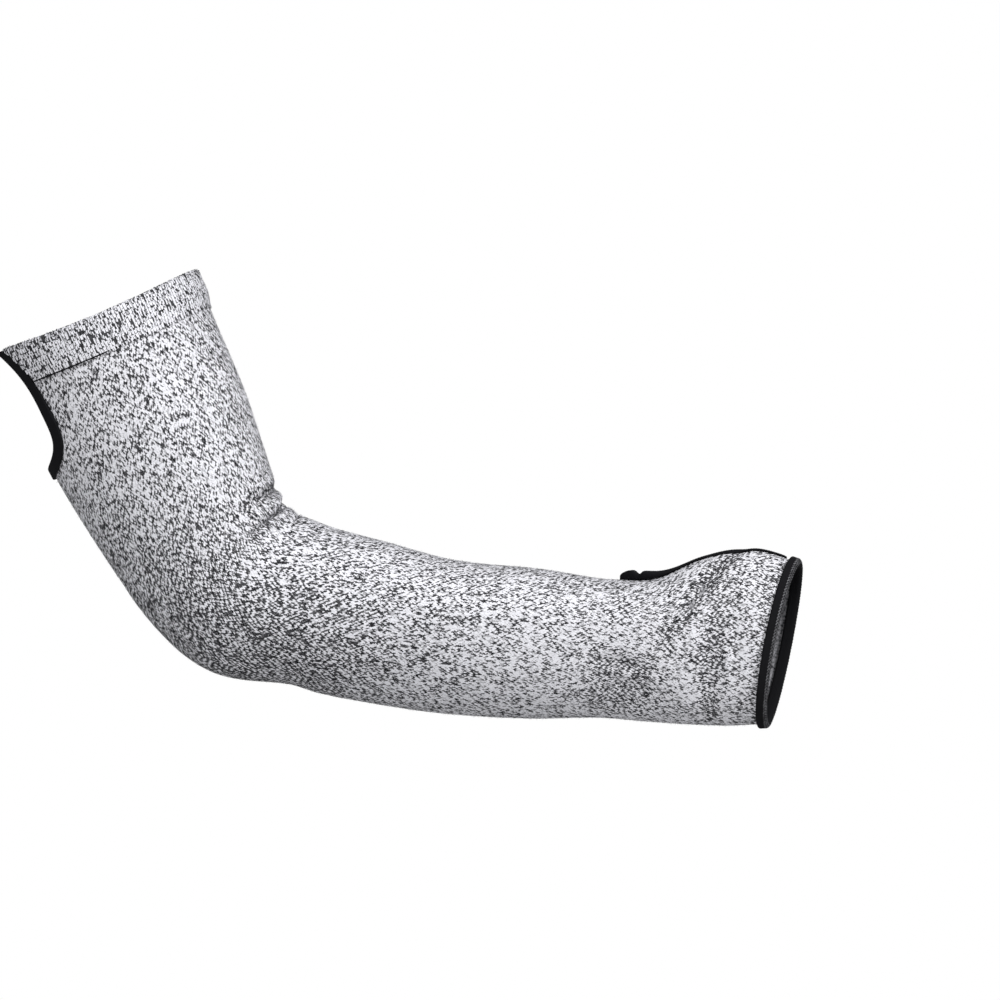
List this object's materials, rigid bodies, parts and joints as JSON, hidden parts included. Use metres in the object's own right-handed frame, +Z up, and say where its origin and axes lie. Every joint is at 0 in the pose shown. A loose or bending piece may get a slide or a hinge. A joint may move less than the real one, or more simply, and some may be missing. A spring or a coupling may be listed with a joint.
{
  "type": "cut resistant sleeve",
  "caption": "Knitted protective arm sleeve for a bent right arm, with a turned upper hem, a bound notch at its back, a bound thumb slot and an elastic binding round the hand.",
  "frame": {"origin": "the elbow, where the axes of the upper arm and the forearm cross", "axes": "+X towards the hand, in the plane of the bent arm, +Z up towards the upper arm, -Y the side of the sleeve that faces outwards"},
  "size_m": [0.4283, 0.0985, 0.2448],
  "materials": {
    "marl_knit": "plain marl knit of pale grey and black yarns",
    "hem_knit": "marl knit, doubled, with close ribs",
    "elastic_binding": "matt black elastic tape with a ribbed face",
    "edge_tape": "matt black folded tape"
  },
  "bodies": {
    "root": {"sleeve_body": "marl_knit", "upper_hem": "hem_knit", "hand_binding": "elastic_binding", "thumb_slot_binding": "edge_tape", "notch_binding": "edge_tape"}
  },
  "joints": []
}
